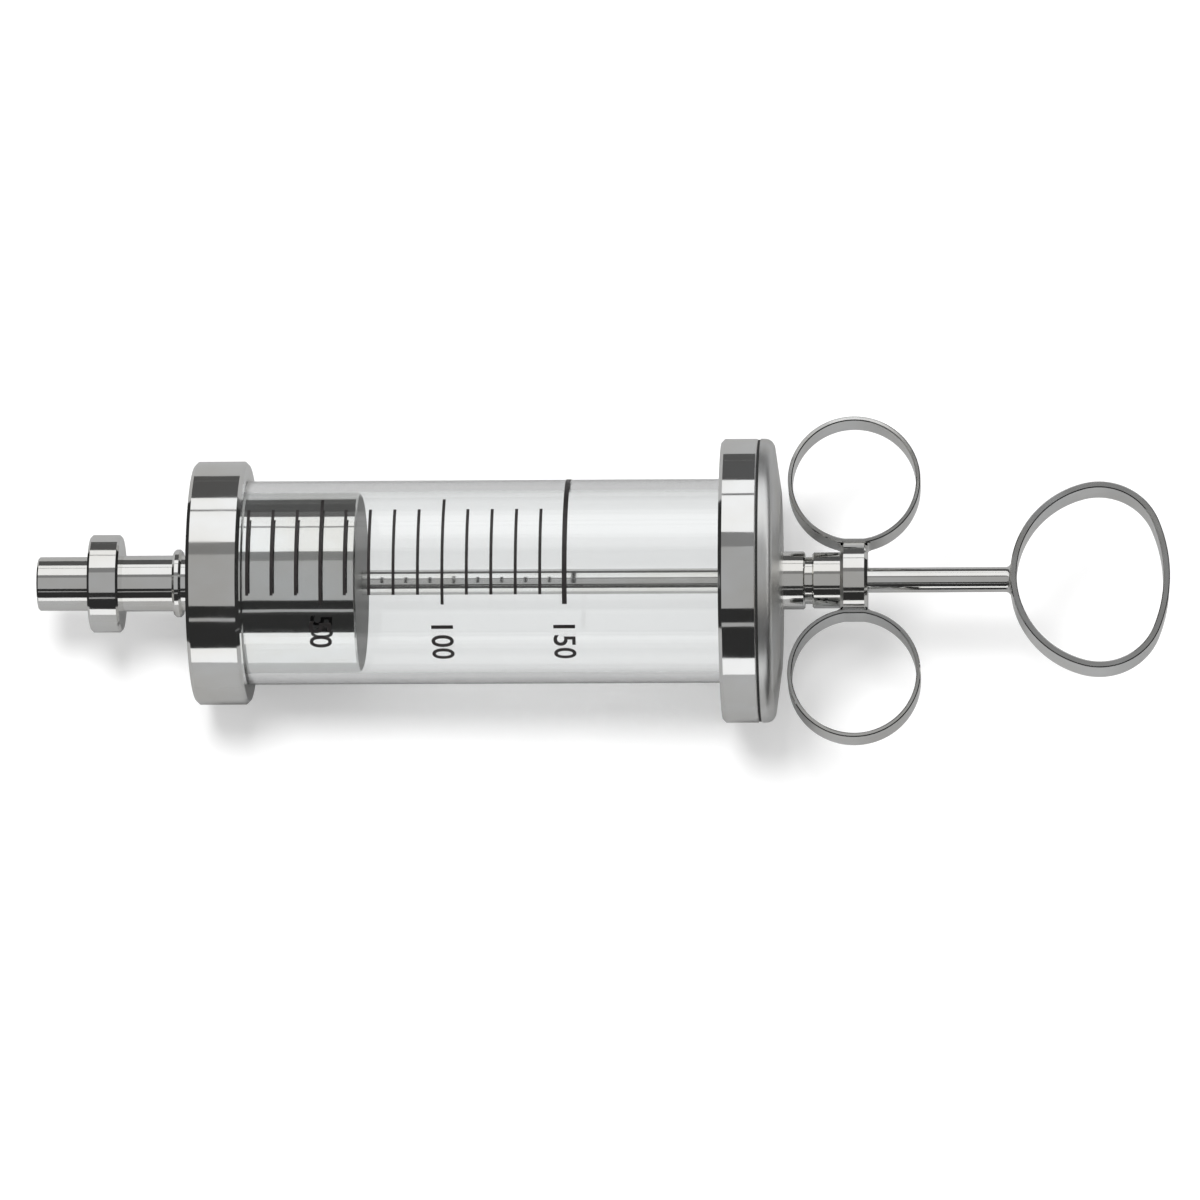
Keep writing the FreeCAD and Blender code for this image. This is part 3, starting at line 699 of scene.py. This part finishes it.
# How much the table glows: for rays from the camera, near and far, for rays that come straight
# through the glass, and for rays that were mirrored on their way through it
TABLE_LIFT = 0.2
TABLE_LIFT_FAR = 0.45
TABLE_LIFT_IN_GLASS = 0.72
TABLE_LIFT_MIRRORED = 0.34
# The distances from the middle, in metres, over which the near glow turns to the far one
TABLE_NEAR = 0.3
TABLE_FAR = 1.2
# The table's colour: two for the camera, one for mirrored light and one for light in the glass
TABLE_WHITES = ("#F2F2F2", "#EFEFEF")
TABLE_MIRRORED = "#A7A7A7"
TABLE_IN_GLASS = "#7C7C7C"

SKY_LIGHT = 0.68
LAMP_PLACE = (-0.2, 0.12, 1.2)
LAMP_SIZE = 0.4
LAMP_WATTS = 8.0

# The camera: its lens in mm, its angle to the rings and its roll in degrees, its distance in
# metres, and in syringe millimetres where it stands, aims and how far below the axis it aims
LENS = 240.0
CAMERA_ELEVATION = 74
CAMERA_ROLL = 0.26
CAMERA_DISTANCE = 2.0
CAMERA_U = 241
AIM_U = 141
AIM_DROP = 4.65


class SYRINGE_OT_stage(bpy.types.Operator):
    """Sets the white table, the light tent, the lamp, the sky and the camera"""

    bl_idname = "syringe.stage"
    bl_label = "Stage"

    def execute(self, context):
        self.make_table(context)
        self.make_tent(context)
        self.make_sky(context)
        self.make_lamp(context)
        self.make_camera(context)
        context.scene.view_settings.view_transform = "Standard"
        return {"FINISHED"}

    def seen_directly(self, tree, kinds):
        """One for a ray of any of the kinds, and zero for others."""
        path = add_node(tree, "ShaderNodeLightPath")
        total = path.outputs[kinds[0]]
        for kind in kinds[1:]:
            total = add_node(
                tree, "ShaderNodeMath", {"operation": "MAXIMUM"}, {0: total, 1: path.outputs[kind]}
            ).outputs[0]
        return total

    def make_table(self, context):
        """A matt white laminate top with the faintest mottle, which keeps the soft shadows."""
        material, tree, output = new_material("white_laminate")
        mottle = noise_between(tree, (60, 60, 60), 3, 0.0, 1.0)
        path = add_node(tree, "ShaderNodeLightPath")
        mirrored = add_node(
            tree, "ShaderNodeMath", {"operation": "GREATER_THAN", 1: 0.5},
            {0: path.outputs["Glossy Depth"]},
        )
        in_glass = add_node(
            tree, "ShaderNodeMapRange",
            {"To Min": TABLE_LIFT_IN_GLASS, "To Max": TABLE_LIFT_MIRRORED},
            {"Value": mirrored.outputs[0]},
        )
        through = add_node(
            tree, "ShaderNodeMath", {"operation": "MULTIPLY"},
            {0: in_glass.outputs["Result"], 1: path.outputs["Is Transmission Ray"]},
        )
        place = add_node(tree, "ShaderNodeTexCoord")
        distance = add_node(
            tree, "ShaderNodeVectorMath", {"operation": "LENGTH"}, {0: place.outputs["Object"]}
        )
        # The far part of the table fades into the white behind it.
        near = add_node(
            tree, "ShaderNodeMapRange",
            {"From Min": TABLE_NEAR, "From Max": TABLE_FAR,
             "To Min": TABLE_LIFT, "To Max": TABLE_LIFT_FAR},
            {"Value": distance.outputs["Value"]},
        )
        lift = add_node(
            tree, "ShaderNodeMath", {"operation": "MULTIPLY_ADD"},
            {0: path.outputs["Is Camera Ray"], 1: near.outputs["Result"], 2: through.outputs[0]},
        )
        white = mixed_colour(tree, mottle, *(linear(shade) for shade in TABLE_WHITES))
        dim = mixed_colour(
            tree, path.outputs["Is Transmission Ray"], linear(TABLE_MIRRORED),
            linear(TABLE_IN_GLASS),
        )
        colour = add_node(
            tree, "ShaderNodeMix", {"data_type": "RGBA"},
            {0: path.outputs["Is Camera Ray"], 6: dim, 7: white},
        )
        shader = add_node(
            tree,
            "ShaderNodeBsdfPrincipled",
            {"Roughness": 0.9, "Specular IOR Level": 0.0, "Emission Color": (1, 1, 1, 1)},
            {
                "Base Color": colour.outputs[2],
                "Emission Strength": lift.outputs[0],
            },
        )
        tree.links.new(shader.outputs[0], output.inputs["Surface"])
        bm = bmesh.new()
        bmesh.ops.create_grid(bm, x_segments=2, y_segments=2, size=6.0)
        mesh = bpy.data.meshes.new("table")
        bm.to_mesh(mesh)
        bm.free()
        mesh.materials.append(material)
        table = bpy.data.objects.new("table", mesh)
        context.scene.collection.objects.link(table)

    def card_material(self, name, light):
        """Glowing card that only rays which have left a shiny surface can see."""
        material, tree, output = new_material("card_" + name)
        path = add_node(tree, "ShaderNodeLightPath")
        shiny = add_node(
            tree, "ShaderNodeMath", {"operation": "GREATER_THAN", 1: 0.5},
            {0: path.outputs["Glossy Depth"]},
        ).outputs[0]
        for kind in ("Is Diffuse Ray", "Is Shadow Ray"):
            shiny = add_node(
                tree, "ShaderNodeMath", {"operation": "SUBTRACT", "use_clamp": True},
                {0: shiny, 1: path.outputs[kind]},
            ).outputs[0]
        if name.endswith("in_glass"):
            # Only the piston sees this card, because its light leaves through the glass.
            shiny = add_node(
                tree, "ShaderNodeMath", {"operation": "MULTIPLY"},
                {0: shiny, 1: path.outputs["Is Transmission Ray"]},
            ).outputs[0]
        clear = add_node(tree, "ShaderNodeBsdfTransparent")
        glow = add_node(
            tree, "ShaderNodeEmission", {"Color": (1, 1, 1, 1), "Strength": light}
        )
        card = add_node(tree, "ShaderNodeMixShader", {}, {0: shiny, 1: clear.outputs[0],
                                                          2: glow.outputs[0]})
        tree.links.new(card.outputs[0], output.inputs["Surface"])
        return material

    def make_tent(self, context):
        """Bends each strip of card round the syringe's axis."""
        cards = list(CARD_LIGHT)
        bm = bmesh.new()
        for start, end, card in TENT_STRIPS:
            angle = math.radians(start)
            side = TENT_RADIUS * math.sin(angle)
            height = TENT_AXIS_HEIGHT + TENT_RADIUS * math.cos(angle)
            ends = [bm.verts.new((x, side, height)) for x in (-TENT_HALF_LENGTH, TENT_HALF_LENGTH)]
            edge = bm.edges.new(ends)
            before = set(bm.faces)
            bmesh.ops.spin(
                bm, geom=ends + [edge], cent=(0, 0, TENT_AXIS_HEIGHT), axis=(-1, 0, 0),
                angle=math.radians(end - start), steps=max(2, round((end - start) / 3)),
                use_duplicate=False,
            )
            for face in set(bm.faces) - before:
                face.material_index = cards.index(card)
        for low, high, card in FLAT_CARDS:
            rim = [low, (high[0], low[1], low[2]), high, (low[0], high[1], high[2])]
            if low[0] == high[0]:
                rim = [low, (low[0], high[1], low[2]), high, (low[0], low[1], high[2])]
            face = bm.faces.new([bm.verts.new(corner) for corner in rim])
            face.material_index = cards.index(card)
        mesh = bpy.data.meshes.new("light_tent")
        bm.to_mesh(mesh)
        bm.free()
        for card in cards:
            mesh.materials.append(self.card_material(card, CARD_LIGHT[card]))
        tent = bpy.data.objects.new("light_tent", mesh)
        context.scene.collection.objects.link(tent)

    def make_sky(self, context):
        """White wherever it is seen or mirrored, and an even soft light on everything else."""
        world = bpy.data.worlds.new("studio")
        world.use_nodes = True
        tree = world.node_tree
        tree.nodes.clear()
        output = add_node(tree, "ShaderNodeOutputWorld")
        seen = self.seen_directly(tree, ("Is Camera Ray", "Is Glossy Ray", "Is Transmission Ray"))
        soft = add_node(
            tree, "ShaderNodeBackground", {"Color": (1, 1, 1, 1), "Strength": SKY_LIGHT}
        )
        white = add_node(tree, "ShaderNodeBackground", {"Color": (1, 1, 1, 1), "Strength": 1.0})
        both = add_node(
            tree, "ShaderNodeMixShader", {}, {0: seen, 1: soft.outputs[0], 2: white.outputs[0]}
        )
        tree.links.new(both.outputs[0], output.inputs["Surface"])
        context.scene.world = world

    def make_lamp(self, context):
        """One wide soft lamp high on the left, which pushes the shadows down and right."""
        light = bpy.data.lights.new("soft_lamp", "AREA")
        light.shape = "DISK"
        light.size = LAMP_SIZE
        light.energy = LAMP_WATTS
        lamp = bpy.data.objects.new("soft_lamp", light)
        lamp.location = LAMP_PLACE
        downwards = Vector((0, 0, 0)) - lamp.location
        lamp.rotation_euler = downwards.to_track_quat("-Z", "Y").to_euler()
        lamp.visible_glossy = False
        context.scene.collection.objects.link(lamp)

    def make_camera(self, context):
        """The camera stands over the grip and looks down steeply on the plane of the rings."""
        lens = bpy.data.cameras.new("camera")
        lens.lens = LENS
        lens.sensor_width = 36.0
        camera = bpy.data.objects.new("camera", lens)
        elevation = math.radians(CAMERA_ELEVATION)
        along = ROW.to_3x3() @ Vector((1, 0, 0)) / MM
        across = Vector((0, 1, 0))
        over = along.cross(across)
        towards = -math.cos(elevation) * across + math.sin(elevation) * over
        image_up = math.sin(elevation) * across + math.cos(elevation) * over
        place = ROW @ Vector((CAMERA_U, 0, 0)) + CAMERA_DISTANCE * towards
        target = ROW @ Vector((AIM_U, 0, 0)) - AIM_DROP * MM * image_up
        forwards = (target - place).normalized()
        right = (along - along.dot(forwards) * forwards).normalized()
        up = right.cross(forwards)
        roll = Matrix.Rotation(math.radians(CAMERA_ROLL), 3, forwards)
        right, up = roll @ right, roll @ up
        turn = Matrix((right, up, -forwards)).transposed()
        camera.matrix_world = Matrix.Translation(place) @ turn.to_4x4()
        context.scene.collection.objects.link(camera)
        context.scene.camera = camera


class SYRINGE_PT_panel(bpy.types.Panel):
    """Lists the steps and their values"""

    bl_idname = "SYRINGE_PT_panel"
    bl_label = "Catheter tip syringe"
    bl_space_type = "VIEW_3D"
    bl_region_type = "UI"
    bl_category = "Syringe"

    def draw(self, context):
        for group in (context.scene.syringe_sizes, context.scene.syringe_finishes):
            for name in group.__annotations__:
                self.layout.prop(group, name)
        for operator in OPERATORS:
            self.layout.operator(operator.bl_idname)


OPERATORS = (
    SYRINGE_OT_finishes,
    SYRINGE_OT_numbers,
    SYRINGE_OT_solder,
    SYRINGE_OT_joint_ring,
    SYRINGE_OT_threads,
    SYRINGE_OT_stage,
)
CLASSES = (SyringeSizes, SyringeFinishes, *OPERATORS, SYRINGE_PT_panel)


def register():
    for cls in CLASSES:
        bpy.utils.register_class(cls)
    bpy.types.Scene.syringe_sizes = PointerProperty(type=SyringeSizes)
    bpy.types.Scene.syringe_finishes = PointerProperty(type=SyringeFinishes)


def unregister():
    del bpy.types.Scene.syringe_finishes
    del bpy.types.Scene.syringe_sizes
    for cls in reversed(CLASSES):
        bpy.utils.unregister_class(cls)


def main():
    """Makes every finish, small part and the stage."""
    register()
    bpy.ops.syringe.finishes()
    bpy.ops.syringe.numbers()
    bpy.ops.syringe.solder()
    bpy.ops.syringe.joint_ring()
    bpy.ops.syringe.threads()
    bpy.ops.syringe.stage()


if __name__ == "__main__":
    main()
